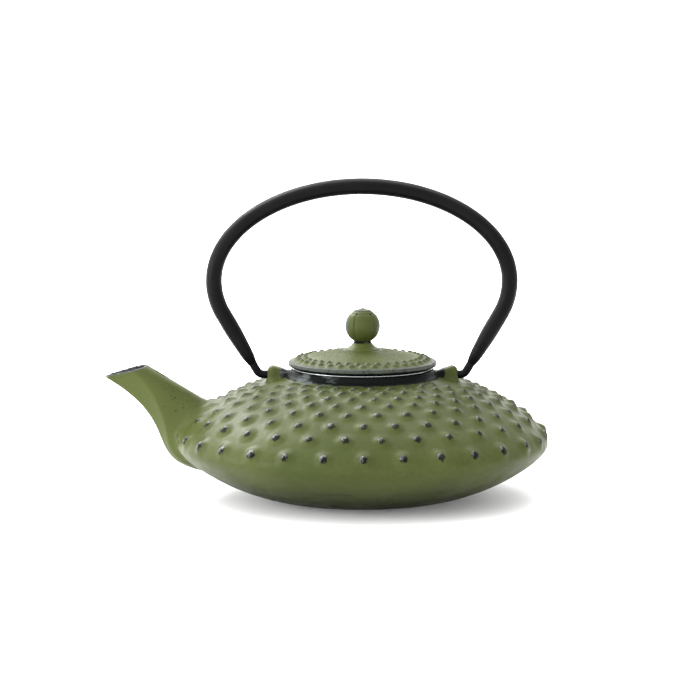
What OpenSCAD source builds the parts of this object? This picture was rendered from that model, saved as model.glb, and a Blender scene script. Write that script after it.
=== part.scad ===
// Cast iron teapot: a low round casting with a spout and two lugs, a lift-out
// tea infuser, a lid with a ball knob, and a hollow steel bail handle.
// Millimetres. +Z is up, the origin is the middle of the flat base, and the
// spout points along -X.

/* [Body] */
// Outer diameter at the widest line
body_d = 190; // [188:0.5:192]
// Height of the widest line above the table
equator_z = 28; // [27:0.5:29]
// Diameter of the flat base
base_d = 72; // [66:1:76]
// Inner diameter of the mouth
mouth_d = 65; // [64.5:0.1:65.4]
// Height of the collar's flat top
collar_z = 66.5; // [66.5:0.1:66.7]

/* [Studs] */
// Studs in each ring round the shoulder
studs_per_row = 30; // [24:2:36]
// Diameter of the lowest, largest studs
stud_d = 7; // [5:0.1:7.4]
// Height of the largest studs
stud_h = 2; // [1:0.1:2.2]
// Small studs in each of the two rings on the lid
lid_studs_per_row = 36; // [24:1:38]

/* [Spout] */
// Length of the spout's oval opening
spout_mouth_l = 23; // [22:0.5:24]
// Width of the spout's oval opening, outside
spout_mouth_w = 18; // [16:0.5:20]
// Thickness of the spout wall
spout_wall = 2.6; // [2.2:0.1:3]

/* [Handle] */
// Width of the handle at its widest, middle of tube to middle of tube
bail_w = 150.6; // [146:0.2:156]
// Height of the middle of the tube at the top of the handle
bail_top_z = 159.7; // [156:0.1:166]
// Thickness of the tube, seen from the front
bail_t = 8.4; // [7.6:0.1:9]
// Depth of the tube, front to back
bail_depth = 10.4; // [9:0.1:11]
// Diameter of the hook rods that turn in the lugs
hook_d = 4.2; // [3.8:0.1:4.4]
// Radial clearance of each hook in its lug
hook_gap = 0.08; // [0.03:0.01:0.1]

/* [Lid and infuser] */
// Outer diameter of the lid
lid_d = 75.8; // [74:0.2:76]
// Diameter of the ball of the knob
ball_d = 17.7; // [16.5:0.1:18.5]
// Outer diameter of the infuser basket
basket_d = 60.8; // [60:0.1:61.4]
// Depth of the infuser basket below its rim
basket_h = 42; // [36:1:44]

/* [Hidden] */
$fn = 96;

iron_green = "#6c7345";
steel_black = "#1f1f20";
stainless = "#b9bcc0";

// Body
body_r = body_d / 2;
base_r = base_d / 2;
mouth_r = mouth_d / 2;
collar_r = 36.3;
collar_foot_r = 39.8;
shoulder_top = [collar_foot_r, 62];
under_outer = [[base_r, 0], [61, 0.3], [body_r - 1, equator_z - 8], [body_r, equator_z]];
shoulder_outer = [[body_r, equator_z], [body_r, equator_z + 10], [66, 57], shoulder_top];
wall = 4;
under_inner = [[31, wall], [57, wall + 0.3], [body_r - 6, equator_z - 7.5],
               [body_r - wall, equator_z]];
shoulder_inner = [[body_r - wall, equator_z], [body_r - wall, equator_z + 8],
                  [64.5, 52.8], [36, 58.7]];
curve_steps = 9;

// Studs: distance of each ring up the shoulder from the widest line
stud_rows = [6, 17.5, 27, 36, 44, 51, 57.5, 63.5];
stud_sink = 0.6;
walk_step = 0.01;

// Lugs
lug_w = 9;
lug_face = 49.7;
pin_z = 63.4;
pin_tip = 42;
bore_end = 41;

// Spout, in the XZ plane, from the opening to the root inside the body
spout_tip = [-110.3, 68.2];
mouth_tilt = 13.6;
spout_lip = spout_tip - spout_mouth_l * [cos(mouth_tilt), sin(mouth_tilt)];
spout_low = [spout_lip, [-86.5, 36.6], [-119.1, 17.3], [-72, 12.5]];
spout_high = [spout_tip, [-96, 59.6], [-82, 51.1], [-68, 42.8]];
spout_root_w = 40;
spout_rings = 12;
spout_sides = 20;

// Infuser
rim_t = 0.8;
rim_r = 35.6;
rim_z = collar_z + rim_t;
basket_r = basket_d / 2;
sheet = 0.5;
basket_z = rim_z - basket_h;

// Lid
lid_r = lid_d / 2;
seat_in = 31.5;
seat_out = 35;
brim_z = rim_z + 0.8;
brim_t = 2.4;
skirt_r = basket_r - sheet - 1.1;
skirt_t = 2.4;
skirt_z = rim_z - 7.3;
crown_z = 76.3;
pedestal_r = 9;
lid_stud_rows = [33.2, 29.8];

// Knob and its screw
screw_d = 4;
screw_hole_d = 4.5;
ball_r = ball_d / 2;
ball_z = 88.4;
cap_r = 4.4;
ball_steps = 14;
inner_crown_z = crown_z - 3.8;
washer_t = 0.8;
screw_tip_z = ball_z - 1;

// Handle
bail_a = bail_w / 2;
bail_mid_z = 111.4;
bail_b = bail_top_z - bail_mid_z;
bend_r = 33.2;
bend_angle = 30.4;
elbow_r = 4;
elbow_angle = 90 - bend_angle;
bail_shift = -0.4;
tube_wall = 1.1;
tube_end_z = 69;
tube_end_r = hook_d / 2 + 0.55;
tube_sides = 14;
taper_from_z = 88;
seam_half = 7;
rod_top_z = 77;
rod_r = hook_d / 2 - 0.04;
rod_sides = 16;
grip_r = rod_r / cos(180 / tube_sides);
elbow_steps = 6;

// ---- shared functions ----

function bezier(p, t) =
    pow(1 - t, 3) * p[0] + 3 * pow(1 - t, 2) * t * p[1]
    + 3 * (1 - t) * t * t * p[2] + t * t * t * p[3];

function curve(p, n = curve_steps) = [for (i = [0 : n]) bezier(p, i / n)];

function past_first(v) = [for (i = [1 : len(v) - 1]) v[i]];

function reversed(v) = [for (i = [len(v) - 1 : -1 : 0]) v[i]];

// Value of t at a distance s along a curve
function t_at(p, s, t = 0, run = 0) =
    run >= s || t >= 1 ? t
    : t_at(p, s, t + walk_step, run + norm(bezier(p, t + walk_step) - bezier(p, t)));

function unit(v) = v / norm(v);

// Skin over a list of rings that all have the same number of points
module skin(rings) {
    n = len(rings[0]);
    last = len(rings) - 1;
    polyhedron(
        points = [for (ring = rings) each ring],
        faces = concat(
            [[for (k = [n - 1 : -1 : 0]) k]],
            [[for (k = [0 : n - 1]) last * n + k]],
            [for (i = [0 : last - 1]) for (k = [0 : n - 1])
                each [[i * n + k, (i + 1) * n + (k + 1) % n, (i + 1) * n + k],
                      [i * n + k, i * n + (k + 1) % n, (i + 1) * n + (k + 1) % n]]]),
        convexity = 6);
}

// ---- body ----

module body_outside() {
    rotate_extrude()
        polygon(concat([[0, 0]], curve(under_outer), past_first(curve(shoulder_outer)),
                       [[collar_foot_r, 62.8], [collar_r + 0.6, 64.2], [collar_r, 65.4],
                        [collar_r, collar_z - 0.3], [collar_r - 0.3, collar_z], [0, collar_z]]));
}

module body_inside() {
    rotate_extrude()
        polygon(concat([[0, wall]], curve(under_inner), past_first(curve(shoulder_inner)),
                       [[mouth_r + 0.6, 60], [mouth_r, 61], [mouth_r, collar_z - 0.4],
                        [mouth_r + 0.4, collar_z], [mouth_r + 0.4, collar_z + 1], [0, collar_z + 1]]));
}

// One ring of the spout at t, with its half-widths made smaller by inset
function spout_half_w(t) =
    spout_mouth_w / 2 + (spout_root_w - spout_mouth_w) / 2 * pow(max(0, (t - 0.45) / 0.55), 2);

function spout_ring(t, inset = 0, lift = [0, 0]) =
    let (low = bezier(spout_low, t), high = bezier(spout_high, t),
         mid = (low + high) / 2 + lift, up = unit(high - low),
         half_h = norm(high - low) / 2 - inset, half_w = spout_half_w(t) - inset)
    [for (k = [0 : spout_sides - 1])
        let (a = 360 * k / spout_sides, h = half_h * cos(a))
        [mid[0] + up[0] * h, half_w * sin(a), mid[1] + up[1] * h]];

module spout_outside() {
    skin([for (i = [0 : spout_rings]) spout_ring(i / spout_rings)]);
}

module spout_passage() {
    out = 3 * [-sin(mouth_tilt), cos(mouth_tilt)];
    in = 14 * unit([1, -0.3]);
    skin(concat([spout_ring(0, spout_wall * 0.8, out)],
                [for (i = [0 : spout_rings]) spout_ring(i / spout_rings, spout_wall + 1.4 * i / spout_rings)],
                [spout_ring(1, spout_wall + 2, in)]));
}

module lug() {
    intersection() {
        rotate([90, 0, 0])
            linear_extrude(lug_w, center = true)
                polygon([[36, 59], [lug_face, 57.5], [lug_face, 62.6], [lug_face - 0.4, 64.9],
                         [lug_face - 1.3, 66.7], [lug_face - 2.6, 67.8], [lug_face - 4.1, 68],
                         [42, 66.9], [38, 65.2], [36, 64.2]]);
        translate([0, 0, 50])
            linear_extrude(30) {
                translate([30, -lug_w / 2]) square([lug_face - lug_w / 2 - 30, lug_w]);
                translate([lug_face - lug_w / 2, 0]) circle(lug_w / 2);
            }
    }
}

// No stud where the spout or a lug grows out of the shoulder
function stud_fits(r, a) =
    let (x = r * sin(a), y = r * cos(a))
    !(x < -68 && abs(y) < 24) && !(abs(x) > 38 && r < 53 && abs(y) < 6.5);

module stud(d, h) {
    translate([0, 0, -stud_sink]) cylinder(h + stud_sink, d / 2, d / 7, $fn = 24);
}

module studs() {
    for (row = [0 : len(stud_rows) - 1]) {
        t = t_at(shoulder_outer, stud_rows[row]);
        p = bezier(shoulder_outer, t);
        d = bezier(shoulder_outer, t + 0.01) - bezier(shoulder_outer, t - 0.01);
        fade = row / (len(stud_rows) - 1);
        for (k = [0 : studs_per_row - 1]) {
            a = (k + (row % 2) / 2) * 360 / studs_per_row;
            if (stud_fits(p[0], a))
                rotate([0, 0, a - 90]) translate([p[0], 0, p[1]]) rotate([0, atan2(d[1], -d[0]), 0])
                    stud(stud_d * (1 - 0.38 * fade), stud_h * (1 - 0.45 * fade));
        }
    }
}

module hook_bore() {
    translate([bore_end, 0, pin_z]) rotate([0, 90, 0]) cylinder(20, d = hook_d + 2 * hook_gap);
}

module pot_body() {
    color(iron_green)
        difference() {
            union() {
                body_outside();
                spout_outside();
                lug();
                mirror([1, 0, 0]) lug();
                studs();
            }
            body_inside();
            spout_passage();
            hook_bore();
            mirror([1, 0, 0]) hook_bore();
        }
}

// ---- infuser ----

module infuser_rim() {
    color(stainless)
        rotate_extrude()
            polygon([[basket_r, rim_z - 4], [basket_r, collar_z - 0.5], [basket_r + 0.5, collar_z],
                     [rim_r, collar_z], [rim_r + 0.2, collar_z + rim_t / 2], [rim_r, rim_z],
                     [basket_r, rim_z], [basket_r - sheet, rim_z - 0.5], [basket_r - sheet, rim_z - 4]]);
}

module infuser_wall() {
    color(stainless)
        translate([0, 0, basket_z + 2])
            difference() {
                cylinder(basket_h - 6, r = basket_r);
                translate([0, 0, -1]) cylinder(basket_h, r = basket_r - sheet);
            }
}

module infuser_hoop() {
    color(stainless)
        rotate_extrude()
            polygon([[basket_r, basket_z + 2], [basket_r, basket_z + 0.6], [basket_r - 0.6, basket_z],
                     [basket_r - 2.4, basket_z], [basket_r - 2.4, basket_z + sheet],
                     [basket_r - sheet - 0.3, basket_z + sheet], [basket_r - sheet, basket_z + 0.9],
                     [basket_r - sheet, basket_z + 2]]);
}

module infuser_floor() {
    color(stainless)
        translate([0, 0, basket_z + sheet])
            cylinder(sheet, r = basket_r - sheet - 0.4);
}

// ---- lid ----

// Height of the lid's upper face at a radius
function lid_top(r) =
    crown_z - (crown_z - brim_z - brim_t) * pow((r - pedestal_r) / (lid_r - 1 - pedestal_r), 1.35);

module lid_studs() {
    for (row = [0 : 1])
        for (k = [0 : lid_studs_per_row - 1])
            rotate([0, 0, (k + row / 2) * 360 / lid_studs_per_row])
                translate([lid_stud_rows[row], 0, lid_top(lid_stud_rows[row]) - 0.5])
                    cylinder(1.4, 1.15, 0.5, $fn = 24);
}

module lid_plate() {
    color(iron_green)
        difference() {
            union() {
                rotate_extrude()
                    polygon(concat(
                        [[skirt_r - skirt_t, skirt_z + 0.5], [skirt_r - skirt_t + 0.5, skirt_z],
                         [skirt_r - 0.5, skirt_z], [skirt_r, skirt_z + 0.5], [skirt_r, rim_z + 0.4],
                         [seat_in, rim_z + 0.4], [seat_in, rim_z], [seat_out, rim_z], [seat_out, brim_z],
                         [lid_r - 0.8, brim_z], [lid_r - 0.1, brim_z + 0.7], [lid_r, brim_z + 1.3],
                         [lid_r - 0.3, brim_z + brim_t - 0.5], [lid_r - 1, brim_z + brim_t]],
                        [for (r = [33 : -4 : pedestal_r + 4]) [r, lid_top(r)]],
                        [[pedestal_r, crown_z], [0, crown_z], [0, inner_crown_z], [10, inner_crown_z],
                         [22, inner_crown_z - 1.8], [skirt_r - skirt_t - 0.8, rim_z + 1.5],
                         [skirt_r - skirt_t, rim_z]]));
                lid_studs();
            }
            translate([0, 0, skirt_z]) cylinder(30, d = screw_hole_d);
        }
}

module lid_knob() {
    neck_r = 4.3;
    low = acos(neck_r / ball_r);
    high = acos(cap_r / ball_r);
    color(iron_green)
        difference() {
            rotate_extrude()
                polygon(concat(
                    [[0, crown_z], [pedestal_r, crown_z], [pedestal_r, crown_z + 0.8],
                     [7.2, crown_z + 1.6], [5.2, crown_z + 2.9], [neck_r, crown_z + 4]],
                    [for (i = [0 : ball_steps]) let (a = -low + (low + high) * i / ball_steps)
                        ball_r * [cos(a), sin(a)] + [0, ball_z]],
                    [[cap_r, ball_z + ball_r - 1.6], [cap_r - 0.7, ball_z + ball_r - 0.9],
                     [1.7, ball_z + ball_r - 0.4], [0.6, ball_z + ball_r + 0.2],
                     [0, ball_z + ball_r + 0.3]]));
            translate([0, 0, crown_z - 1]) cylinder(screw_tip_z - crown_z + 2, d = screw_d + 0.04);
        }
}

module knob_screw() {
    head_z = inner_crown_z - washer_t;
    color(stainless)
        difference() {
            rotate_extrude()
                polygon([[0, head_z - 2.6], [2.6, head_z - 2.6], [3.6, head_z - 1.7], [4, head_z - 0.8],
                         [4, head_z], [screw_d / 2, head_z], [screw_d / 2, screw_tip_z - 0.6],
                         [screw_d / 2 - 0.6, screw_tip_z], [0, screw_tip_z]]);
            translate([-5, -0.5, head_z - 3]) cube([10, 1, 1.4]);
        }
}

module knob_washer() {
    color(stainless)
        translate([0, 0, inner_crown_z - washer_t])
            difference() {
                cylinder(washer_t, r = 5);
                translate([0, 0, -1]) cylinder(washer_t + 2, d = screw_hole_d);
            }
}

// ---- handle ----

leg_dir = [-sin(bend_angle), -cos(bend_angle)];
leg_start = [bail_a - bend_r + bend_r * cos(bend_angle), bail_mid_z - bend_r * sin(bend_angle)];

// Point of the straight leg at a height
function leg_at(z) = leg_start + leg_dir * (z - leg_start[1]) / leg_dir[1];

// How far the tube has tapered towards its end, from 0 to 1
function taper(z) = pow(max(0, taper_from_z - z) / (taper_from_z - tube_end_z), 1.6);

// Each ring of one half of the tube: its middle, and the way it runs
bail_half = concat(
    [for (i = [0 : 9]) let (a = 90 - 9 * i)
        [[bail_a * cos(a), bail_mid_z + bail_b * sin(a)], unit([bail_a * sin(a), -bail_b * cos(a)])]],
    [for (i = [1 : 3]) let (a = -bend_angle * i / 3)
        [[bail_a - bend_r + bend_r * cos(a), bail_mid_z + bend_r * sin(a)], [sin(a), -cos(a)]]],
    [for (z = [taper_from_z, 82, 77, 73, tube_end_z]) [leg_at(z), leg_dir]]);

// Section of rolled sheet: an oval with a narrow seam along its inner side
function tube_ring(mid, run, side) =
    let (fade = taper(mid[1]),
         t = bail_t / 2 - (bail_t / 2 - tube_end_r) * fade,
         d = bail_depth / 2 - (bail_depth / 2 - tube_end_r) * fade,
         sheet_t = tube_wall - (tube_wall - tube_end_r + grip_r) * fade,
         arc = [for (k = [0 : tube_sides]) seam_half + (360 - 2 * seam_half) * k / tube_sides],
         oval = concat([for (a = arc) [t * cos(a), d * sin(a)]],
                       [for (a = reversed(arc)) [(t - sheet_t) * cos(a), (d - sheet_t) * sin(a)]]))
    [for (q = oval) [side * (mid[0] + run[1] * q[0]), -q[1], mid[1] - run[0] * q[0]]];

module bail_tube() {
    color(steel_black)
        translate([bail_shift, 0, 0])
            skin(concat([for (s = reversed(bail_half)) tube_ring(s[0], s[1], -1)],
                        [for (s = past_first(bail_half)) tube_ring(s[0], s[1], 1)]));
}

function rod_ring(mid, run) =
    [for (k = [0 : rod_sides - 1])
        let (a = 360 * k / rod_sides, q = rod_r * [cos(a), sin(a)])
        [mid[0] + run[1] * q[0], -q[1], mid[1] - run[0] * q[0]]];

// Rod from inside the tube's end, round an elbow, to a round pin in the lug
module bail_hook() {
    elbow_start = leg_at(pin_z + elbow_r * (1 - cos(elbow_angle)));
    elbow_x = elbow_start[0] - elbow_r * sin(elbow_angle);
    union() {
        skin(concat(
            [rod_ring(leg_at(rod_top_z), leg_dir)],
            [for (i = [0 : elbow_steps]) let (a = elbow_angle * (1 - i / elbow_steps))
                rod_ring([elbow_x + elbow_r * sin(a), pin_z + elbow_r * (1 - cos(a))], [-cos(a), -sin(a)])],
            [rod_ring([elbow_x - hook_d / 2, pin_z], [-1, 0])]));
        translate([pin_tip, 0, pin_z]) rotate([0, 90, 0]) cylinder(elbow_x - pin_tip, d = hook_d);
    }
}

module bail_hook_spout_side() {
    color(steel_black) translate([bail_shift, 0, 0]) mirror([1, 0, 0]) bail_hook();
}

module bail_hook_rear() {
    color(steel_black) translate([bail_shift, 0, 0]) bail_hook();
}

pot_body();
infuser_rim();
infuser_wall();
infuser_hoop();
infuser_floor();
lid_plate();
lid_knob();
knob_screw();
knob_washer();
bail_tube();
bail_hook_spout_side();
bail_hook_rear();
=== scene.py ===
"""Cast iron teapot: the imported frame, dressed with its cast, rolled and woven surfaces.

Shapes are worked out in millimetres and written to meshes in metres.
+Z is up, the spout points along -X, and the camera looks along +Y.
"""
import math

import bpy
import numpy as np
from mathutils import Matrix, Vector


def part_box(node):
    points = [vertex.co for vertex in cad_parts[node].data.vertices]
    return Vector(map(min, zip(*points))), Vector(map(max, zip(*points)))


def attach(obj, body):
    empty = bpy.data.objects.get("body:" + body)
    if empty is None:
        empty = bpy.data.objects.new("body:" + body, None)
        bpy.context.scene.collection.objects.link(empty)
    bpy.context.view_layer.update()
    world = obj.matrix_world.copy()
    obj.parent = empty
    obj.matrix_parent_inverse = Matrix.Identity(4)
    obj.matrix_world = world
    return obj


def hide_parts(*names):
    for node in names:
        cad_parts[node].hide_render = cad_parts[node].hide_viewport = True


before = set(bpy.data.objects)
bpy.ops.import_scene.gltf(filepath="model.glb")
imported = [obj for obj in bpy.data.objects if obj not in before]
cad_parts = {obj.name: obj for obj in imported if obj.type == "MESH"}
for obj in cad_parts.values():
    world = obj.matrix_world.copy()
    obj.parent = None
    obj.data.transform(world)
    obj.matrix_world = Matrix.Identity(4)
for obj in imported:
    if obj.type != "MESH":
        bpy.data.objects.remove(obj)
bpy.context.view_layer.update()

MM = 0.001
SEED = 11


def node_box(node):
    """A node's lowest and highest corners, in millimetres."""
    low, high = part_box(node)
    return np.array(low) / MM, np.array(high) / MM


# ---------------------------------------------------------------- dimensions

pot_low, pot_high = node_box("pot_body")
body_r = pot_high[0]
equator_z = 28.0
base_r = 36.0
mouth_r = 32.5
collar_r = 36.3
collar_z = 66.5
wall = 4.0
parting_z = 13.8

under_outer = [(base_r, 0), (61, 0.3), (body_r - 1, equator_z - 8), (body_r, equator_z)]
shoulder_outer = [(body_r, equator_z), (body_r, equator_z + 10), (66, 57), (39.8, 62)]
under_inner = [(31, wall), (57, wall + 0.3), (body_r - 6, equator_z - 7.5), (body_r - wall, equator_z)]
shoulder_inner = [(body_r - wall, equator_z), (body_r - wall, equator_z + 8), (64.5, 52.8), (36, 58.7)]

stud_rows = [6, 17.5, 27, 36, 44, 51, 57.5, 63.5]
studs_per_row = 30
stud_r = 4.8
stud_h = 2.5

spout_high = [(-110.3, 68.2), (-96, 59.6), (-82, 51.1), (-68, 42.8)]
spout_low = [(pot_low[0], 62.8), (-86.5, 36.6), (-119.1, 17.3), (-72, 12.5)]
spout_mouth_w = 18.0
spout_root_w = 40.0
spout_wall = 2.3
spout_lip = 1.5
spout_power = 2.7

hook_d = 4.2
hook_gap = 0.08
pin_z = 63.4
lug_face = 49.7
lug_w = 9.0
lug_side = [(36, 59), (lug_face, 57.5), (lug_face, 62.6), (lug_face - 0.4, 64.9), (lug_face - 1.3, 66.7),
            (lug_face - 2.6, 67.8), (lug_face - 4.1, 68), (42, 66.9), (38, 65.2), (36, 64.2)]

bail_shift = -0.4
bail_t = 8.4
bail_depth = 10.4
bail_a = 75.3
bail_mid_z = 111.4
bail_b = node_box("bail_tube")[1][2] - bail_t / 2 - bail_mid_z
bend_r = 33.2
bend_angle = math.radians(30.4)
elbow_r = 4.0
tube_wall = 1.1
tube_end_z = 69.0
tube_end_r = hook_d / 2 + 0.55
taper_from_z = 88.0
hook_top_z = 77.0

rim_low, rim_high = node_box("infuser_rim")
wall_low, wall_high = node_box("infuser_wall")
floor_low, floor_high = node_box("infuser_floor")
basket_r = wall_high[0]

lid_low, lid_high = node_box("lid_plate")
lid_r = lid_high[0]
lid_seat_z = rim_high[2]
brim_z = lid_seat_z + 0.8
brim_t = 2.4
crown_z = lid_high[2]
skirt_r = basket_r - 1.6
pedestal_r = 9.0
lid_stud_rows = [33.2, 29.8]
lid_studs_per_row = 36

knob_low, knob_high = node_box("lid_knob")
ball_r = 8.85
ball_z = 88.4
cap_r = 4.4
panels = 5
panel_turn = math.radians(6.5)


# ---------------------------------------------------------------- curves and fields

def bezier(p, t):
    p = np.asarray(p, float)
    t = np.asarray(t, float)[..., None]
    return (1 - t) ** 3 * p[0] + 3 * (1 - t) ** 2 * t * p[1] + 3 * (1 - t) * t * t * p[2] + t ** 3 * p[3]


def curve(p, steps=48):
    return [tuple(q) for q in bezier(p, np.linspace(0, 1, steps + 1))]


def smooth_min(a, b, k):
    h = np.maximum(k - np.abs(a - b), 0) / k
    return np.minimum(a, b) - h * h * k / 4


def smooth_max(a, b, k):
    return -smooth_min(-a, -b, k)


def ramp(a, b, x):
    t = np.clip((x - a) / (b - a), 0, 1)
    return t * t * (3 - 2 * t)


def nearest_on_path(path, u, v):
    """Distance to an open path, and the length along it of the nearest point."""
    best = np.full(u.shape, 1e9)
    along = np.zeros(u.shape)
    run = 0.0
    for (ax, ay), (bx, by) in zip(path[:-1], path[1:]):
        dx, dy = bx - ax, by - ay
        length = math.hypot(dx, dy)
        t = np.clip(((u - ax) * dx + (v - ay) * dy) / length ** 2, 0, 1)
        gap = np.hypot(u - ax - t * dx, v - ay - t * dy)
        closer = gap < best
        best[closer] = gap[closer]
        along[closer] = run + t[closer] * length
        run += length
    return best, along


def inside_polygon(path, u, v):
    inside = np.zeros(u.shape, bool)
    for (ax, ay), (bx, by) in zip(path, path[1:] + path[:1]):
        if ay != by:
            crosses = ((ay > v) != (by > v)) & (u < (bx - ax) * (v - ay) / (by - ay) + ax)
            inside ^= crosses
    return inside


class Table:
    """Values on a flat grid, read back smoothly at any point."""

    def __init__(self, low, high, step, fill):
        self.low, self.step = low, step
        us = np.arange(low[0], high[0] + step, step)
        vs = np.arange(low[1], high[1] + step, step)
        self.values = fill(*np.meshgrid(us, vs, indexing="ij")).astype(np.float32)

    def __call__(self, u, v):
        nu, nv = self.values.shape
        fu = np.clip((u - self.low[0]) / self.step, 0, nu - 1.001)
        fv = np.clip((v - self.low[1]) / self.step, 0, nv - 1.001)
        iu, iv = fu.astype(np.int32), fv.astype(np.int32)
        fu, fv = fu - iu, fv - iv
        t = self.values
        return ((t[iu, iv] * (1 - fu) + t[iu + 1, iv] * fu) * (1 - fv)
                + (t[iu, iv + 1] * (1 - fu) + t[iu + 1, iv + 1] * fu) * fv)


def signed_table(path, low, high, step=0.25):
    def fill(u, v):
        gap = nearest_on_path(path + path[:1], u, v)[0]
        return np.where(inside_polygon(path, u, v), -gap, gap)
    return Table(low, high, step, fill)


def lathe_table(half):
    """Signed distance to a turned form, from its profile out of and back to the axis."""
    mirrored = [(-r, z) for r, z in reversed(half) if r > 0]
    return signed_table(half + mirrored, (0, -6), (104, 82))


# ---------------------------------------------------------------- pot casting

outer_half = ([(0, 0)] + curve(under_outer) + curve(shoulder_outer)[1:]
              + [(39.2, 62.9), (37.6, 63.8), (36.8, 64.8), (collar_r, 65.8), (collar_r - 0.3, 66.3),
                 (collar_r - 0.8, collar_z), (0, collar_z)])
inner_half = ([(0, wall)] + curve(under_inner) + curve(shoulder_inner)[1:]
              + [(mouth_r + 0.6, 60), (mouth_r, 61), (mouth_r, 80), (0, 80)])

outer_table = lathe_table(outer_half)
inner_table = lathe_table(inner_half)
shoulder_path = curve(shoulder_outer, 90)
shoulder_s = Table((0, -6), (104, 82), 0.25, lambda u, v: nearest_on_path(shoulder_path, u, v)[1])
lug_table = signed_table(lug_side, (30, 50), (56, 74))


def stud_row_radii():
    """How far each row of studs is from the pot's axis."""
    path = np.array(shoulder_path)
    lengths = np.concatenate([[0], np.cumsum(np.hypot(*np.diff(path, axis=0).T))])
    return np.interp(stud_rows, lengths, path[:, 0])


row_radius = stud_row_radii()
dice = np.random.default_rng(SEED)
stud_scale = dice.uniform(0.86, 1.12, (len(stud_rows), studs_per_row))
stud_jog = dice.uniform(-0.35, 0.35, (2, len(stud_rows), studs_per_row))
stud_wear = dice.uniform(0.72, 1.12, (len(stud_rows), studs_per_row))


def stud_relief(x, y, z, r):
    """Height of the studs over the plain shoulder, how worn each point is, and how far up and left
    on its stud it lies, as a painted highlight on the worn tips that is also lighter on the pot's left side.
    """
    height = np.zeros(x.shape, np.float32)
    tip = np.zeros(x.shape, np.float32)
    painted_highlight = np.zeros(x.shape, np.float32)
    near = (np.abs(outer_table(r, z)) < 3.5) & (z > equator_z - 2) & (r > 38)
    xs, ys, rs = x[near], y[near], r[near]
    s = shoulder_s(rs, z[near])
    turn = np.arctan2(xs, -ys)
    pitch = 2 * math.pi / studs_per_row
    best = np.zeros(xs.shape, np.float32)
    best_tip = np.zeros(xs.shape, np.float32)
    best_highlight = np.zeros(xs.shape, np.float32)
    for row, s_row in enumerate(stud_rows):
        fade = row / (len(stud_rows) - 1)
        offset = (row % 2) / 2
        k = np.round(turn / pitch - offset).astype(int)
        centre = (k + offset) * pitch
        k %= studs_per_row
        across = (turn - centre) * row_radius[row] + stud_jog[0, row][k]
        along = s - s_row + stud_jog[1, row][k]
        size = stud_scale[row][k]
        reach = stud_r * (1 - 0.28 * fade)
        away = np.hypot(across, along) / reach
        beside_lug = (np.abs(np.sin(centre)) > 0.9) & (row_radius[row] < 53)
        rise = smooth_max(1.03 - np.sqrt(away ** 2 + 0.018), 0 * away, 0.34) * (away < 1.3)
        h = np.where(beside_lug, 0, rise * size * stud_h * (1 - 0.32 * fade))
        best = np.maximum(best, h)
        below = np.hypot(across, along + 0.35) / reach
        worn = (1 - ramp(0.1 + 0.1 * fade, 0.8 + 0.1 * fade, below)) * (1 - 0.12 * fade) * stud_wear[row][k]
        best_tip = np.maximum(best_tip, np.where(beside_lug, 0, worn))
        # Painted highlight: lighter up and left on each stud and towards the pot's left side.
        lit = np.clip(0.42 - 0.2 * xs / body_r + (along - across) / reach, 0, 1)
        best_highlight = np.where(away < 1, lit, best_highlight)
    height[near] = best
    tip[near] = best_tip
    painted_highlight[near] = best_highlight
    return height, tip, painted_highlight


# Spout: rings between a lower and an upper edge, in the XZ plane
ring_t = np.linspace(0, 1, 121)
ring_low, ring_high = bezier(spout_low, ring_t), bezier(spout_high, ring_t)
ring_mid = (ring_low + ring_high) / 2
ring_a = np.hypot(*(ring_high - ring_low).T) / 2
ring_up = (ring_high - ring_low) / (2 * ring_a[:, None])
ring_along = np.stack([ring_up[:, 1], -ring_up[:, 0]], 1)
ring_b = spout_mouth_w / 2 + (spout_root_w - spout_mouth_w) / 2 * np.maximum(0, (ring_t - 0.45) / 0.55) ** 2


def ring_position(u, v):
    """Which ring of the spout passes through each point, from 0 at the mouth to 1 at the root."""
    found = np.ones(u.shape)
    done = np.zeros(u.shape, bool)
    before = None
    for i, t in enumerate(ring_t):
        ahead = (u - ring_mid[i, 0]) * ring_along[i, 0] + (v - ring_mid[i, 1]) * ring_along[i, 1]
        here = (ahead < 0) & ~done
        if before is None:
            found[here] = 0
        else:
            found[here] = t - (ring_t[1] * -ahead / np.maximum(before - ahead, 1e-6))[here]
        done |= here
        before = ahead
    return found


spout_t = Table((-150, -4), (-40, 84), 0.5, ring_position)


def before_ring(i, x, z):
    return -((x - ring_mid[i, 0]) * ring_along[i, 0] + (z - ring_mid[i, 1]) * ring_along[i, 1])


def spout_field(x, y, z, mouth_inset, inset):
    """Distance to the spout's skin, moved in by an amount that changes behind the mouth.

    The section is a flat-sided oval, cut by a slanting facet along its lower side.
    """
    t = spout_t(x, z)
    inset = mouth_inset + (inset - mouth_inset) * ramp(0, 0.15, t)
    up_x, up_z = np.interp(t, ring_t, ring_up[:, 0]), np.interp(t, ring_t, ring_up[:, 1])
    off_x = x - np.interp(t, ring_t, ring_mid[:, 0])
    off_z = z - np.interp(t, ring_t, ring_mid[:, 1])
    h = off_x * up_x + off_z * up_z
    a = np.interp(t, ring_t, ring_a) - inset
    b = np.interp(t, ring_t, ring_b) - inset
    u, v = np.maximum(np.abs(h) / a, 1e-3), np.maximum(np.abs(y) / b, 1e-3)
    k = (u ** spout_power + v ** spout_power) ** (1 / spout_power)
    slope = np.hypot((u / k) ** (spout_power - 1) / a, (v / k) ** (spout_power - 1) / b)
    crease = np.interp(t, (0, 0.3, 0.6, 1), (-0.44, 0.25, 0.7, 0.9))
    lean = 0.72 / (1 - crease)
    facet = (v - 1 + lean * (-h / a - crease)) / np.hypot(lean / a, 1 / b)
    return smooth_max((k - 1) / slope, facet, 0.45)


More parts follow.
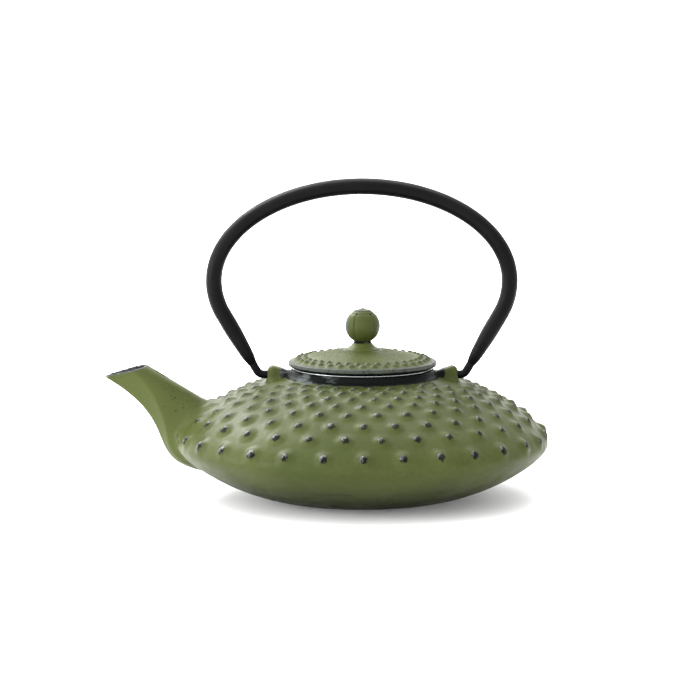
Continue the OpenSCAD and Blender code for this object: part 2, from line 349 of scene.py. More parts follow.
def pot_parts(x, y, z):
    """The casting's outer skin and its hollow, as two fields."""
    r = np.hypot(x, y)
    skin = outer_table(r, z) - stud_relief(x, y, z, r)[0]
    near_spout = x < -50
    spout = np.full(x.shape, 50.0)
    passage = np.full(x.shape, 50.0)
    xs, ys, zs = x[near_spout], y[near_spout], z[near_spout]
    mouth = before_ring(0, xs, zs)
    root = -before_ring(-1, xs, zs)
    spout[near_spout] = np.maximum(smooth_max(spout_field(xs, ys, zs, 0, 0), mouth, 0.9), root - 4)
    passage[near_spout] = np.maximum(spout_field(xs, ys, zs, spout_lip, spout_wall), root - 14)
    skin = smooth_min(skin, spout, 1.8 + 5 * ramp(26, 48, z))
    ax = np.abs(x)
    nose = np.hypot(np.maximum(ax - lug_face + lug_w / 2, 0), y) - lug_w / 2
    lug = smooth_max(lug_table(ax, z), nose, 2.2)
    skin = smooth_min(skin, lug, 2.4)
    bore = np.maximum(np.hypot(y, z - pin_z) - hook_d / 2 - hook_gap, 41 - ax)
    skin = smooth_max(skin, -bore, 0.5)
    hollow = smooth_min(inner_table(r, z), passage, 4)
    return skin, hollow


def pot_field(x, y, z):
    skin, hollow = pot_parts(x, y, z)
    return smooth_max(skin, -hollow, 0.9)


# ---------------------------------------------------------------- meshing

def cast_mesh(field, low, high, cell):
    """A closed quad mesh on the zero of a field: one point per crossed cell, pulled onto the surface."""
    xs, ys, zs = (np.arange(a, b + cell, cell) for a, b in zip(low, high))
    solid = np.empty((len(xs), len(ys), len(zs)), bool)
    for i in range(0, len(xs), 8):
        block = np.meshgrid(xs[i:i + 8], ys, zs, indexing="ij")
        solid[i:i + 8] = field(*block) < 0
    shape = np.array(solid.shape)
    strides = np.array([shape[1] * shape[2], shape[2], 1])
    quads = []
    for axis in range(3):
        a = np.take(solid, range(shape[axis] - 1), axis)
        b = np.take(solid, range(1, shape[axis]), axis)
        edges = np.argwhere(a != b)
        leaving = a[tuple(edges.T)]
        u, v = np.eye(3, dtype=int)[(axis + 1) % 3], np.eye(3, dtype=int)[(axis + 2) % 3]
        ring = np.stack([(edges - u - v) @ strides, (edges - v) @ strides,
                         edges @ strides, (edges - u) @ strides], 1)
        ring[~leaving] = ring[~leaving][:, ::-1]
        quads.append(ring)
    cells, faces = np.unique(np.concatenate(quads), return_inverse=True)
    faces = faces.reshape(-1, 4)
    grid = np.stack([cells // strides[0], cells // strides[1] % shape[1], cells % shape[2]], 1)
    points = np.array(low) + (grid + 0.5) * cell
    for _ in range(3):
        points = pull_onto(field, relax(points, faces), cell)
    return pull_onto(field, pull_onto(field, points, cell), cell), faces


def relax(points, faces):
    """Each point moves halfway to the middle of its neighbours."""
    count = np.bincount(faces.ravel(), minlength=len(points))
    centre = points[faces].mean(1)
    out = np.empty_like(points)
    for i in range(3):
        out[:, i] = np.bincount(faces.ravel(), np.repeat(centre[:, i], 4), len(points)) / count
    return points * 0.5 + out * 0.5


def gradient(field, points, step=0.05):
    out = np.empty_like(points)
    for i in range(3):
        shift = np.zeros(3)
        shift[i] = step
        out[:, i] = (field(*(points + shift).T) - field(*(points - shift).T)) / (2 * step)
    return out


def pull_onto(field, points, cell):
    slope = gradient(field, points)
    pull = (field(*points.T) / np.maximum((slope ** 2).sum(1), 0.15))[:, None] * slope
    length = np.linalg.norm(pull, axis=1, keepdims=True)
    return points - pull * np.minimum(1, 0.7 * cell / np.maximum(length, 1e-9))


def add_piece(name, points, faces, body, node, material, masks=None):
    """A mesh object made from points in millimetres, riding on a body in place of a CAD node."""
    mesh = bpy.data.meshes.new(name)
    points = np.asarray(points, np.float32) * MM
    if isinstance(faces, np.ndarray):
        mesh.vertices.add(len(points))
        mesh.vertices.foreach_set("co", points.ravel())
        mesh.loops.add(faces.size)
        mesh.loops.foreach_set("vertex_index", faces.ravel().astype(np.int32))
        mesh.polygons.add(len(faces))
        mesh.polygons.foreach_set("loop_start", np.arange(0, faces.size, faces.shape[1], dtype=np.int32))
        mesh.update(calc_edges=True)
    else:
        mesh.from_pydata(points.tolist(), [], faces)
    mesh.validate()
    mesh.polygons.foreach_set("use_smooth", np.ones(len(mesh.polygons), bool))
    for key, values in (masks or {}).items():
        layer = mesh.attributes.new(key, "FLOAT", "POINT")
        layer.data.foreach_set("value", np.asarray(values, np.float32))
    mesh.materials.append(material)
    piece = bpy.data.objects.new(name, mesh)
    bpy.context.scene.collection.objects.link(piece)
    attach(piece, body)
    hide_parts(node)
    return piece


def lathe(profile, turns, shift=None):
    """Points and quads of a closed turned profile; shift(r, z, angle) may reshape it."""
    profile = np.asarray(profile, float)
    n = len(profile)
    angle = np.arange(turns) * 2 * math.pi / turns
    r, z = profile[:, 0][:, None], profile[:, 1][:, None]
    if shift is not None:
        r, z = shift(r, z, angle[None, :])
    x, y = r * np.sin(angle), -r * np.cos(angle)
    points = np.stack([x, y, np.broadcast_to(z, x.shape)], 2).reshape(-1, 3)
    i = np.arange(n)[:, None] * turns
    nxt = (np.arange(n)[:, None] + 1) % n * turns
    j = np.arange(turns)[None, :]
    k = (j + 1) % turns
    quads = np.stack(np.broadcast_arrays(i + j, i + k, nxt + k, nxt + j), 2).reshape(-1, 4)
    return points, quads


def refine(path, spacing):
    """A path with points no further apart than spacing."""
    out = []
    for a, b in zip(path[:-1], path[1:]):
        steps = max(1, math.ceil(math.dist(a, b) / spacing))
        out += [tuple(np.array(a) + (np.array(b) - a) * i / steps) for i in range(steps)]
    return out + [path[-1]]


def round_corners(path, amount, steps=3):
    """A closed path with each corner cut back by up to amount and rounded."""
    out = []
    count = len(path)
    for i in range(count):
        a, b, c = (np.array(path[(i + k) % count], float) for k in (-1, 0, 1))
        la, lc = np.linalg.norm(a - b), np.linalg.norm(c - b)
        start, end = b + (a - b) * min(amount / la, 0.45), b + (c - b) * min(amount / lc, 0.45)
        for s in range(steps + 1):
            t = s / steps
            out.append(tuple((1 - t) ** 2 * start + 2 * t * (1 - t) * b + t * t * end))
    return out


def sweep(rings):
    """Points and faces of a capped skin over rings that all have the same number of points."""
    rings = np.asarray(rings)
    count, n = rings.shape[:2]
    faces = [[i * n + k, i * n + (k + 1) % n, (i + 1) * n + (k + 1) % n, (i + 1) * n + k]
             for i in range(count - 1) for k in range(n)]
    faces += [list(range(n))[::-1], [(count - 1) * n + k for k in range(n)]]
    return rings.reshape(-1, 3), faces


# ---------------------------------------------------------------- materials

class Shader:
    """A node material with short helpers."""

    def __init__(self, name, **settings):
        self.material = bpy.data.materials.new(name)
        self.material.use_nodes = True
        self.nodes = self.material.node_tree.nodes
        self.links = self.material.node_tree.links
        self.bsdf = self.nodes["Principled BSDF"]
        for key, value in settings.items():
            self.bsdf.inputs[key.replace("_", " ")].default_value = value
        self.place = self.nodes.new("ShaderNodeTexCoord").outputs["Object"]
        split = self.nodes.new("ShaderNodeSeparateXYZ")
        self.links.new(self.place, split.inputs[0])
        self.height = split.outputs["Z"]

    def put(self, socket, value):
        if isinstance(value, bpy.types.NodeSocket):
            self.links.new(value, socket)
        else:
            socket.default_value = value

    def noise(self, scale, detail=4.0, rough=0.55, stretch=None):
        node = self.nodes.new("ShaderNodeTexNoise")
        node.inputs["Scale"].default_value = scale
        node.inputs["Detail"].default_value = detail
        node.inputs["Roughness"].default_value = rough
        place = self.place
        if stretch:
            mapping = self.nodes.new("ShaderNodeMapping")
            mapping.inputs["Scale"].default_value = stretch
            self.links.new(place, mapping.inputs["Vector"])
            place = mapping.outputs["Vector"]
        self.links.new(place, node.inputs["Vector"])
        return node.outputs["Fac"]

    def cells(self, scale):
        node = self.nodes.new("ShaderNodeTexVoronoi")
        node.inputs["Scale"].default_value = scale
        self.links.new(self.place, node.inputs["Vector"])
        return node.outputs["Distance"]

    def mask(self, name):
        node = self.nodes.new("ShaderNodeAttribute")
        node.attribute_name = name
        return node.outputs["Fac"]

    def step(self, value, low, high, out_low=0.0, out_high=1.0):
        node = self.nodes.new("ShaderNodeMapRange")
        node.interpolation_type = "SMOOTHSTEP"
        self.put(node.inputs["Value"], value)
        for key, number in zip(("From Min", "From Max", "To Min", "To Max"), (low, high, out_low, out_high)):
            node.inputs[key].default_value = number
        return node.outputs["Result"]

    def math(self, operation, a, b=0.0):
        node = self.nodes.new("ShaderNodeMath")
        node.operation = operation
        self.put(node.inputs[0], a)
        self.put(node.inputs[1], b)
        return node.outputs[0]

    def frayed(self, value, noise, amount):
        """A value moved up and down by up to half of an amount."""
        return self.math("ADD", value, self.math("MULTIPLY", self.math("SUBTRACT", noise, 0.5), amount))

    def mix(self, factor, a, b):
        node = self.nodes.new("ShaderNodeMix")
        node.data_type = "RGBA"
        self.put(node.inputs["Factor"], factor)
        self.put(node.inputs[6], a)
        self.put(node.inputs[7], b)
        return node.outputs[2]

    def blend(self, factor, a, b):
        node = self.nodes.new("ShaderNodeMix")
        self.put(node.inputs["Factor"], factor)
        self.put(node.inputs[2], a)
        self.put(node.inputs[3], b)
        return node.outputs[0]

    def bump(self, height, distance, strength=1.0, under=None):
        node = self.nodes.new("ShaderNodeBump")
        node.inputs["Distance"].default_value = distance
        node.inputs["Strength"].default_value = strength
        self.links.new(height, node.inputs["Height"])
        if under is not None:
            self.links.new(under, node.inputs["Normal"])
        return node.outputs["Normal"]


def linear(r, g, b):
    """An sRGB colour from 0 to 255 as the linear colour that shaders use."""
    def one(c):
        c /= 255
        return c / 12.92 if c <= 0.04045 else ((c + 0.055) / 1.055) ** 2.4
    return (one(r), one(g), one(b), 1.0)


def lacquered_iron():
    """Green lacquer over black iron: rubbed through on the high points, pitted, black where masked, with
    painted light, shade, highlights and sheen where masked.
    """
    s = Shader("lacquered_iron")
    green = s.mix(s.step(s.noise(22, 3), 0.35, 0.68), linear(49, 56, 23), linear(57, 63, 29))
    green = s.mix(s.step(s.noise(420, 5, 0.6), 0.42, 0.75, 0, 0.4), green, linear(42, 48, 19))
    # Painted light: the lacquer is lifted to a lighter green on the spout, the lid's field and the knob's
    # lower neck.
    green = s.mix(s.mask("painted_light"), green, linear(62, 69, 33))
    # Painted shade: the lacquer darkens towards the bottom of the pot, over its lowest 20 mm.
    low = s.step(s.height, 0.02, 0.0, 0, 0.9)
    green = s.mix(low, green, linear(24, 27, 15))
    pits = s.math("MULTIPLY", s.step(s.cells(620), 0.16, 0.08), s.step(s.noise(60, 2), 0.56, 0.66))
    cluster = s.math("MULTIPLY", s.step(s.noise(330, 2), 0.5, 0.58), s.mask("pitted"))
    pits = s.math("MAXIMUM", pits, s.math("MULTIPLY", s.step(s.cells(700), 0.36, 0.24), cluster))
    off_seam = s.math("ABSOLUTE", s.math("SUBTRACT", s.height, parting_z * MM))
    seam = s.math("MULTIPLY", s.step(off_seam, 0.0006, 0.0001), s.step(s.noise(110, 3), 0.5, 0.62))
    flaws = s.math("MAXIMUM", s.math("MULTIPLY", pits, 0.8), s.math("MULTIPLY", seam, 0.55))
    green = s.mix(flaws, green, linear(22, 24, 18))

    grain = s.noise(850, 4, 0.7)
    rubbed = s.step(s.frayed(s.mask("tip"), grain, 1.8), 0.46, 0.6)
    rubbed = s.math("MULTIPLY", rubbed, s.step(s.height, 0.036, 0.058, 1.0, 0.66))
    # Painted highlight: the rubbed iron is light grey on the upper left of each stud tip and near black
    # elsewhere.
    painted_glint = s.step(s.frayed(s.mask("painted_highlight"), s.noise(1100, 3, 0.7, (1, 1, 0.5)), 2.2), 0.42, 0.7)
    iron = s.mix(painted_glint, linear(10, 10, 10), linear(80, 80, 84))
    colour = s.mix(rubbed, green, iron)
    # Real wear on the spout lip, the lid's brim and mounds and the knob's cap, and painted sheen on the
    # knob's left and right sides, all greyed here.
    worn = s.step(s.frayed(s.mask("worn"), s.noise(190, 4, 0.6), 0.7), 0.4, 0.75, 0, 0.85)
    colour = s.mix(worn, colour, linear(54, 58, 55))
    # Painted sheen: light streaks on the black iron of the collar, foot and lug roots, on the pot's left side
    # only.
    sheen_patch = s.math("MULTIPLY", s.step(s.noise(75, 4, 0.65, (1, 1, 3.5)), 0.47, 0.64), s.mask("painted_sheen"))
    bare = s.mix(sheen_patch, linear(13, 15, 14), linear(68, 73, 72))
    dark = s.step(s.frayed(s.mask("dark"), s.noise(240, 4, 0.6), 0.9), 0.4, 0.62)
    colour = s.mix(dark, colour, bare)
    inside = s.step(s.mask("inside"), 0.4, 0.6)
    s.put(s.bsdf.inputs["Base Color"], s.mix(inside, colour, linear(22, 23, 25)))

    rough = s.step(s.noise(90, 4), 0.3, 0.7, 0.34, 0.48)
    s.put(s.bsdf.inputs["Roughness"], s.blend(inside, s.blend(rubbed, rough, 0.36), 0.16))
    gloss = s.blend(dark, s.blend(rubbed, 0.09, s.blend(painted_glint, 0.06, 0.3)), 0.02)
    gloss = s.math("MULTIPLY", gloss, s.step(s.height, 0.004, 0.026, 0.15, 1.0))
    s.put(s.bsdf.inputs["Specular IOR Level"], s.blend(inside, gloss, 0.4))
    skin = s.bump(s.noise(260, 3), 0.00035, 0.4)
    grit = s.blend(inside, s.noise(1500, 3, 0.6), 0.5)
    skin = s.bump(grit, 0.00012, 0.5, skin)
    s.put(s.bsdf.inputs["Normal"], s.bump(s.math("MULTIPLY", grain, rubbed), 0.0006, 0.8, skin))
    return s.material


def black_steel():
    """Satin black paint on rolled steel."""
    s = Shader("black_steel", Specular_IOR_Level=0.06)
    tone = s.mix(s.step(s.noise(45, 4), 0.3, 0.7), linear(4, 4, 5), linear(9, 9, 10))
    specks = s.step(s.noise(1800, 2), 0.66, 0.74, 0, 0.5)
    s.put(s.bsdf.inputs["Base Color"], s.mix(specks, tone, linear(36, 36, 37)))
    s.put(s.bsdf.inputs["Roughness"], s.step(s.noise(160, 4), 0.3, 0.7, 0.36, 0.5))
    s.put(s.bsdf.inputs["Normal"], s.bump(s.noise(700, 3), 0.00015, 0.4))
    return s.material


def stainless(name, rough_low, rough_high, grain):
    """Stainless steel with a drawn or turned grain."""
    s = Shader(name, Metallic=1.0)
    marks = s.noise(300, 4, 0.6, grain)
    s.put(s.bsdf.inputs["Base Color"], s.mix(marks, linear(140, 142, 145), linear(168, 169, 170)))
    s.put(s.bsdf.inputs["Roughness"], s.step(marks, 0.3, 0.7, rough_low, rough_high))
    s.put(s.bsdf.inputs["Normal"], s.bump(marks, 0.00004, 0.4))
    return s.material


# ---------------------------------------------------------------- pieces

def build_pot(material):
    cell = 0.75
    points, faces = cast_mesh(pot_field, pot_low - 2.6 * cell, pot_high + [2.6 * cell, 2.6 * cell, 4], cell)
    x, y, z = points.T
    r = np.hypot(x, y)
    skin, hollow = pot_parts(x, y, z)
    rise, tip, painted_highlight = stud_relief(x, y, z, r)
    on_shoulder = np.abs(outer_table(r, z) - rise) < 0.4
    lugs = (np.abs(x) > 39.5) & (np.abs(y) < lug_w / 2 + 1)
    collar = ramp(61.2, 63.6, z) * (r < 44) * ~lugs
    lug_root = lugs * (1 - ramp(40.5, 44.5, np.abs(x))) * 0.72
    lip = np.where(x < -104, 1 - ramp(0.35, 1.1, np.abs(before_ring(0, x, z))), 0)
    base = 1 - ramp(0.3, 0.9, z)
    masks = {
        "tip": tip * on_shoulder,
        "painted_highlight": painted_highlight,
        "dark": np.clip(np.maximum.reduce([collar, base, lug_root]), 0, 1),
        # Painted sheen on the black iron, fading in from x = -6 mm to x = -20 mm on the pot's left side.
        "painted_sheen": ramp(-6, -20, x),
        # Painted light: the spout's lacquer is lightened.
        "painted_light": ramp(-80, -92, x) * (z > 20) * 0.8,
        "worn": lip * 1.2,
        "pitted": np.exp(-((x + 94) ** 2 + (z - 50) ** 2) / 90),
        "inside": np.where(np.abs(hollow) < 0.45, 1.0, 0.0),
    }
    add_piece("pot_casting", points, faces, "pot", "pot_body", material, masks)


def lid_top(r):
    """Height of the plain top: flat under the knob, then falling to the brim."""
    out = (np.maximum(r, pedestal_r) - pedestal_r) / (lid_r - 1 - pedestal_r)
    return crown_z - (crown_z - brim_z - brim_t) * out ** 1.35


def build_lid(material):
    hole_r = 2.25
    brim_top = brim_z + brim_t
    under = [(hole_r, crown_z - 3.8), (10, crown_z - 3.8), (22, crown_z - 5.6),
             (skirt_r - 3.2, lid_seat_z + 1.5), (skirt_r - 2.4, lid_seat_z),
             (skirt_r - 2.4, lid_low[2]), (skirt_r, lid_low[2]),
             (skirt_r, lid_seat_z + 0.4), (31.5, lid_seat_z + 0.4), (31.5, lid_seat_z), (35, lid_seat_z),
             (35, brim_z), (lid_r, brim_z), (lid_r, brim_top), (lid_r - 2.4, brim_top)]
    edge = round_corners(under + [(hole_r, crown_z)], 0.8)
    split = next(i for i, (r, z) in enumerate(edge) if lid_r - 2.6 < r < lid_r - 2 and z > brim_top - 0.2)
    rise = [(r, float(lid_top(r))) for r in np.arange(lid_r - 2.9, 2.9, -0.35)]
    profile = refine(edge[:split], 0.7) + rise + [(hole_r, crown_z - 0.1)]
    turns = 720
    rng = np.random.default_rng(SEED + 1)
    size = rng.uniform(0.85, 1.1, (2, lid_studs_per_row))

    def relief(r, z, angle):
        top = z > brim_top - 0.35
        height = np.zeros(np.broadcast_shapes(r.shape, angle.shape))
        pitch = 2 * math.pi / lid_studs_per_row
        for row, centre_r in enumerate(lid_stud_rows):
            k = np.round(angle / pitch - row / 2).astype(int)
            across = (angle - (k + row / 2) * pitch) * centre_r
            away = np.hypot(across, r - centre_r) / (2.2 - 0.25 * row)
            bump = np.cos(np.clip(away, 0, 1) * math.pi / 2) ** 1.5 * size[row][k % lid_studs_per_row]
            height = np.maximum(height, (1.35 - 0.2 * row) * bump)
        coarse = np.sin(angle * 74 + np.sin(r * 1.1 + angle * 5) * 2.2)
        coarse = coarse * np.sin(r * 3.3 + np.sin(angle * 31) * 1.6)
        fine = np.sin(angle * 121 + r * 2.7) * np.sin(r * 5.1 - angle * 17)
        field = ramp(pedestal_r, pedestal_r + 3, r) * (1 - ramp(25.5, 28, r))
        height = height + 0.09 * (coarse + 0.6 * fine) * field
        return r, z + height * top

    points, faces = lathe(profile, turns, relief)
    x, y, z = points.T
    r = np.hypot(x, y)
    above = z - lid_top(r)
    masks = {
        "dark": np.maximum(1 - ramp(brim_z + 0.1, brim_z + 0.9, z), 0.4 * (r > lid_r - 2.2)),
        # Painted light: the lid's field inside 28 mm is lightened.
        "painted_light": 0.5 * (r < 28),
        "worn": np.maximum(ramp(35.2, 36.6, r) * 0.9, ramp(0.4, 1.2, above) * (r > 26) * (r < 35.2) * 0.65),
    }
    add_piece("lid_casting", points, faces[:, ::-1], "lid", "lid_plate", material, masks)


def build_knob(material):
    neck_r = 4.3
    low, high = math.acos(neck_r / ball_r), math.acos(cap_r / ball_r)
    foot = knob_low[2]
    ball = [(ball_r * math.cos(a), ball_z + ball_r * math.sin(a)) for a in np.linspace(-low, high, 70)]
    neck = [(pedestal_r, foot), (8.9, foot + 0.25), (8.4, foot + 0.6), (7.5, foot + 0.95), (6.5, foot + 1.55),
            (5.6, foot + 2.4), (4.9, foot + 3.2), (4.45, foot + 3.8), (neck_r, foot + 4.3)]
    ball_top = ball_z + ball_r
    top = [(cap_r + 0.1, ball_top - 1.25), (cap_r, ball_top - 0.95), (cap_r - 0.5, ball_top - 0.7),
           (2.4, ball_top - 0.4), (1.5, ball_top - 0.25), (0.9, ball_top + 0.05),
           (0.3, knob_high[2]), (0.02, knob_high[2])]
    bore = [(0.02, ball_z - 0.9), (2.02, ball_z - 0.9), (2.02, foot)]
    profile = refine(bore + neck, 0.3) + ball + refine(top, 0.2)
    turns = 240
    pitch = 2 * math.pi / panels

    def off_panel(angle):
        """Angle from the middle of the nearest panel."""
        return (angle - panel_turn + pitch / 2) % pitch - pitch / 2

    def relief(r, z, angle):
        lift = np.clip((z - ball_z) / ball_r, -1, 1)
        on_ball = (ramp(-0.86, -0.74, lift) * (1 - ramp(0.72, 0.8, lift))) * (r > 3)
        off = off_panel(angle)
        groove = np.exp(-((pitch / 2 - np.abs(off)) * r / 0.42) ** 2)
        plump = np.cos(off / pitch * math.pi) * 0.18
        parting = np.exp(-((z - ball_z) / 0.22) ** 2) * 0.07
        band = np.exp(-((lift - 0.72) / 0.035) ** 2)
        change = on_ball * (plump + parting - 0.5 * groove) - 0.42 * band * (r > 3) - 0.1 * on_ball
        return r + change * np.maximum(r / ball_r, 0.3), z + 0 * angle

    points, faces = lathe(profile, turns, relief)
    x, y, z = points.T
    r = np.hypot(x, y)
    angle = np.arctan2(x, -y)
    to_groove = (pitch / 2 - np.abs(off_panel(angle))) * r
    groove = np.exp(-(to_groove / 0.7) ** 2) * (z > foot + 5) * (z < ball_z + 7.2)
    under = (1 - ramp(neck_r + 0.2, neck_r + 1.6, r)) * ramp(foot + 2.6, foot + 3.6, z) * (z < ball_z - 6.2)
    ledge = np.exp(-((z - ball_z - 0.7 * ball_r) / 0.3) ** 2) * (r > 3)
    # Painted sheen: the ball's left and right sides are greyed, carried with real wear in the worn mask.
    edge = ramp(0.5, 0.95, np.abs(np.sin(angle)) * (r / ball_r)) * (z > foot + 5) * 0.7
    masks = {
        "dark": np.clip(0.34 * groove + 0.6 * under + 0.4 * ledge, 0, 1),
        # Painted light: the knob's lower neck is lightened.
        "painted_light": 1 - ramp(foot + 3.5, foot + 6, z),
        "worn": np.maximum(edge, ramp(ball_z + 6.6, ball_z + 7.4, z) * 0.55),
    }
    add_piece("knob_casting", points, faces[:, ::-1], "lid", "lid_knob", material, masks)


leg_run = np.array([-math.sin(bend_angle), -math.cos(bend_angle)])


def bend_at(angle):
    """A point on the bend between the hoop and the leg, in the XZ plane."""
    return np.array([bail_a - bend_r + bend_r * math.cos(angle), bail_mid_z + bend_r * math.sin(angle)])


def leg_at(z):
    """The point of the straight leg at a height."""
    start = bend_at(-bend_angle)
    return start + leg_run * (z - start[1]) / leg_run[1]


def bail_path():
    """Middle and direction of each ring of the right half of the tube, from the top down."""
    out = []
    for a in np.radians(np.linspace(90, 0, 61)):
        mid = np.array([bail_a * math.cos(a), bail_mid_z + bail_b * math.sin(a)])
        run = np.array([bail_a * math.sin(a), -bail_b * math.cos(a)])
        out.append((mid, run / np.linalg.norm(run)))
    for a in np.linspace(0, -bend_angle, 13)[1:]:
        out.append((bend_at(a), np.array([math.sin(a), -math.cos(a)])))
    for z in np.linspace(leg_at(out[-1][0][1])[1], tube_end_z, 26)[1:]:
        out.append((leg_at(z), out[-1][1]))
    return out


def tube_ring(mid, run, side):
    """Rolled sheet: an oval whose edges turn in to meet at a seam on the inner side."""
    fade = max(0.0, (taper_from_z - mid[1]) / (taper_from_z - tube_end_z)) ** 1.6
    t = bail_t / 2 - (bail_t / 2 - tube_end_r) * fade
    d = bail_depth / 2 - (bail_depth / 2 - tube_end_r) * fade
    sheet = tube_wall - (tube_wall - tube_end_r + hook_d / 2) * fade
    close = 0.42 * (1 - ramp(tube_end_z, tube_end_z + 3.5, mid[1]))
    t, d, sheet = t - close, d - close, sheet - close
    seam = math.radians(6)
    arc = np.linspace(seam, 2 * math.pi - seam, 44)
    curl = 1 - 0.06 * np.exp(-(np.minimum(arc, 2 * math.pi - arc) / 0.22) ** 2)
    outer = [(t * math.cos(a) * c, d * math.sin(a) * c) for a, c in zip(arc, curl)]
    inner = [((t - sheet) * math.cos(a) * c, (d - sheet) * math.sin(a) * c)
             for a, c in zip(arc[::-1], curl[::-1])]
    return [(side * (mid[0] + run[1] * q) + bail_shift, -w, mid[1] - run[0] * q) for q, w in outer + inner]


def build_bail(material):
    half = bail_path()
    rings = [tube_ring(m, r, -1) for m, r in reversed(half)] + [tube_ring(m, r, 1) for m, r in half[1:]]
    points, faces = sweep(rings)
    piece = add_piece("bail_rolled_tube", points, faces, "bail", "bail_tube", material)
    edge = piece.modifiers.new("soft_edges", "BEVEL")
    edge.width = 0.00025
    edge.segments = 2
    edge.limit_method = "ANGLE"
    edge.angle_limit = math.radians(50)
    for side, where in ((-1, "spout_side"), (1, "rear")):
        points, faces = sweep(hook_rings(side))
        add_piece("hook_rod_" + where, points, faces, "bail", "bail_hook_" + where, material)


def hook_rings(side):
    """Rings down the leg, round the elbow and along the pin, with a rounded tip."""
    turn = math.pi / 2 - bend_angle
    start = leg_at(pin_z + elbow_r * (1 - math.cos(turn)))
    elbow_x = start[0] - elbow_r * math.sin(turn)
    stops = [(leg_at(z), leg_run, 1) for z in np.linspace(hook_top_z, start[1], 8)]
    for a in np.linspace(turn, 0, 14)[1:]:
        mid = np.array([elbow_x + elbow_r * math.sin(a), pin_z + elbow_r * (1 - math.cos(a))])
        stops.append((mid, np.array([-math.cos(a), -math.sin(a)]), 1))
    for x, size in ((46, 1), (42.8, 1), (42.3, 0.93), (42.0, 0.78)):
        stops.append((np.array([x, pin_z]), np.array([-1, 0]), size))
    rings = []
    for mid, way, size in stops:
        ring = []
        for a in np.linspace(0, 2 * math.pi, 28, endpoint=False):
            q, w = hook_d / 2 * size * math.cos(a), hook_d / 2 * size * math.sin(a)
            ring.append((side * (mid[0] + way[1] * q) + bail_shift, -w * side, mid[1] - way[0] * q))
        rings.append(ring)
    return rings


def wire(path, radius, sides=5):
    """Rings of a thin round wire along a path of 3D points."""
    path = np.asarray(path, float)
    way = np.gradient(path, axis=0)
    way /= np.linalg.norm(way, axis=1, keepdims=True)
    helper = np.where(np.abs(way[:, 2:3]) > 0.8, [[1.0, 0, 0]], [[0, 0, 1.0]])
    u = np.cross(way, helper)
    u /= np.linalg.norm(u, axis=1, keepdims=True)
    v = np.cross(way, u)
    a = (np.arange(sides) * 2 * math.pi / sides)[None, :, None]
    return path[:, None] + radius * (np.cos(a) * u[:, None] + np.sin(a) * v[:, None])


def gather(parts):
    """Many point and face lists joined into one."""
    points, faces, start = [], [], 0
    for p, f in parts:
        points.append(p)
        faces += [[start + i for i in face] for face in f]
        start += len(p)
    return np.concatenate(points), faces


def build_infuser(sheet_metal, mesh_metal):
    mid_r = basket_r - 0.25
    wire_r = 0.11
    pitch = 1.2
    crimp = wire_r * 0.8
    uprights = int(2 * math.pi * mid_r / pitch / 2) * 2
    low, high = wall_low[2] - 1.0, wall_high[2] + 0.3
    heights = np.arange(low, high + 0.01, pitch)
    parts = []
    for i in range(uprights):
        a = i * 2 * math.pi / uprights
        r = mid_r + crimp * np.cos(math.pi * (np.arange(len(heights)) + i))
        path = np.stack([r * math.sin(a), -r * math.cos(a), heights], 1)
        parts.append(sweep(wire(path, wire_r)))
    for j, z in enumerate(heights):
        a = np.arange(uprights + 1) * 2 * math.pi / uprights
        r = mid_r - crimp * np.cos(math.pi * (np.arange(uprights + 1) + j))
        path = np.stack([r * np.sin(a), -r * np.cos(a), np.full(len(a), z)], 1)
        parts.append(sweep(wire(path, wire_r)))
    points, faces = gather(parts)
    add_piece("infuser_wall_mesh", points, faces, "infuser", "infuser_wall", mesh_metal)

    floor_r = floor_high[0]
    level = (floor_low[2] + floor_high[2]) / 2
    lines = np.arange(-math.floor(floor_r / pitch), math.floor(floor_r / pitch) + 1)
    parts = []
    for i in lines:
        reach = math.sqrt(max(floor_r ** 2 - (i * pitch) ** 2, 1))
        stops = lines[np.abs(lines * pitch) < reach]
        run = np.concatenate([[-reach], stops * pitch, [reach]])
        sway = np.concatenate([[0], crimp * np.cos(math.pi * (stops + i)), [0]])
        parts.append(sweep(wire(np.stack([run, np.full(len(run), i * pitch), level + sway], 1), wire_r)))
        parts.append(sweep(wire(np.stack([np.full(len(run), i * pitch), run, level - sway], 1), wire_r)))
    points, faces = gather(parts)
    add_piece("infuser_floor_mesh", points, faces, "infuser", "infuser_floor", mesh_metal)

    rim_t = rim_high[2] - collar_z
    bead = rim_t / 2
    edge = [(rim_high[0] - bead + bead * math.cos(a), collar_z + bead + bead * math.sin(a))
            for a in np.linspace(-math.pi / 2, math.pi / 2, 9)]
    rim = ([(basket_r - 0.5, rim_low[2]), (basket_r, rim_low[2]), (basket_r, collar_z - 0.6),
            (basket_r + 0.2, collar_z - 0.15), (basket_r + 0.6, collar_z)] + edge
           + [(basket_r + 0.4, rim_high[2]), (basket_r - 0.1, rim_high[2] - 0.15),
              (basket_r - 0.5, rim_high[2] - 0.6)])
    points, faces = lathe(rim, 360)
    faces = faces[:, ::-1]
    add_piece("infuser_rolled_rim", points, faces, "infuser", "infuser_rim", sheet_metal)


def dress_cad_node(node, material):
    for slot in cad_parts[node].material_slots:
        slot.material = material


lacquer = lacquered_iron()
paint = black_steel()
sheet_metal = stainless("stainless_sheet", 0.16, 0.3, (1, 1, 12))
mesh_metal = stainless("stainless_wire", 0.22, 0.34, (1, 1, 1))
screw_metal = stainless("stainless_turned", 0.2, 0.34, (6, 6, 1))

build_pot(lacquer)
build_lid(lacquer)
build_knob(lacquer)
build_bail(paint)
build_infuser(sheet_metal, mesh_metal)
dress_cad_node("infuser_hoop", sheet_metal)
dress_cad_node("knob_screw", screw_metal)
dress_cad_node("knob_washer", screw_metal)


# ---------------------------------------------------------------- stage, light and camera

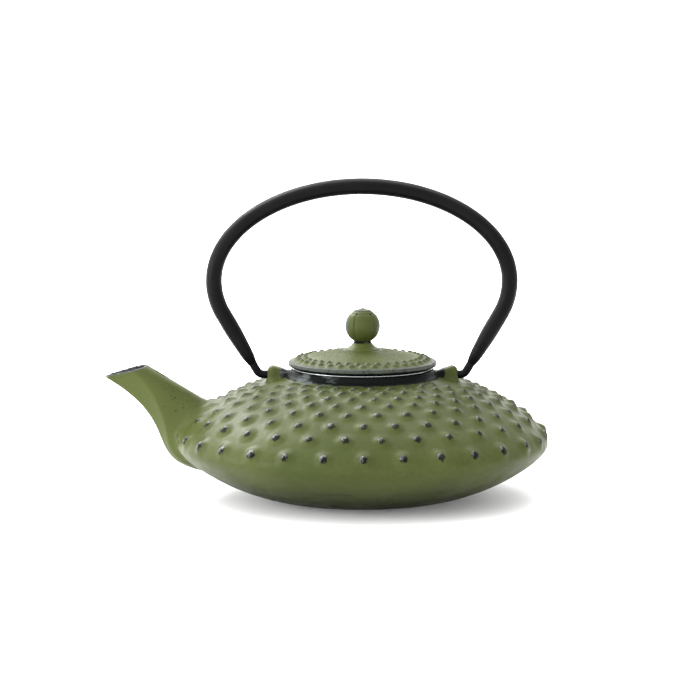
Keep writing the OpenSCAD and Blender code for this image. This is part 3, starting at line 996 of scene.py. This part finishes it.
def build_floor():
    mesh = bpy.data.meshes.new("floor")
    half = 12.0
    corners = [(-half, -half, 0), (half, -half, 0), (half, half, 0), (-half, half, 0)]
    mesh.from_pydata(corners, [], [(0, 1, 2, 3)])
    shader = Shader("floor_paper", Roughness=0.7, Emission_Color=(1, 1, 1, 1), Emission_Strength=0.1)
    tone = shader.mix(shader.noise(6, 2), (0.84, 0.84, 0.84, 1), (0.86, 0.86, 0.86, 1))
    shader.put(shader.bsdf.inputs["Base Color"], tone)
    mesh.materials.append(shader.material)
    floor = bpy.data.objects.new("floor", mesh)
    bpy.context.scene.collection.objects.link(floor)


def build_world():
    """White surroundings, brighter to the left than to the right."""
    world = bpy.data.worlds.new("studio")
    bpy.context.scene.world = world
    world.use_nodes = True
    nodes, links = world.node_tree.nodes, world.node_tree.links
    place = nodes.new("ShaderNodeTexCoord")
    split = nodes.new("ShaderNodeSeparateXYZ")
    links.new(place.outputs["Generated"], split.inputs[0])
    side = nodes.new("ShaderNodeMapRange")
    side.inputs["From Min"].default_value = -0.8
    side.inputs["From Max"].default_value = 0.8
    side.inputs["To Min"].default_value = 3.8
    side.inputs["To Max"].default_value = 1.5
    links.new(split.outputs["X"], side.inputs["Value"])
    links.new(side.outputs["Result"], nodes["Background"].inputs["Strength"])
    nodes["Background"].inputs["Color"].default_value = (1, 1, 1, 1)


def softbox(name, place, aim, size, power):
    data = bpy.data.lights.new(name, "AREA")
    data.shape = "RECTANGLE"
    data.size, data.size_y = size
    data.energy = power
    lamp = bpy.data.objects.new(name, data)
    bpy.context.scene.collection.objects.link(lamp)
    lamp.location = place
    lamp.rotation_euler = direction(place, aim).to_track_quat("-Z", "Y").to_euler()


def direction(start, end):
    return Vector(end) - Vector(start)


def build_camera():
    """The photograph's view: level with the lid, a little above, square to the handle."""
    distance = 2.0
    elevation = math.radians(7.4)
    width = 0.3575
    aim = (-0.0064, 0.0, 0.0759)
    data = bpy.data.cameras.new("camera")
    data.sensor_width = 36
    data.lens = 36 * distance / width
    camera = bpy.data.objects.new("camera", data)
    bpy.context.scene.collection.objects.link(camera)
    back, up = distance * math.cos(elevation), distance * math.sin(elevation)
    camera.location = (aim[0], aim[1] - back, aim[2] + up)
    camera.rotation_euler = direction(camera.location, aim).to_track_quat("-Z", "Y").to_euler()
    bpy.context.scene.camera = camera


build_floor()
build_world()
softbox("key_back_left", (-0.65, 0.7, 1.05), (0, 0, 0.05), (0.7, 0.7), 22)
softbox("top_fill", (0.25, 0.55, 1.3), (0, 0, 0.05), (0.9, 0.6), 8)
softbox("left_fill", (-1.2, -0.45, 0.28), (-0.06, 0, 0.04), (0.6, 0.5), 9)
build_camera()
bpy.context.scene.view_settings.view_transform = "Standard"
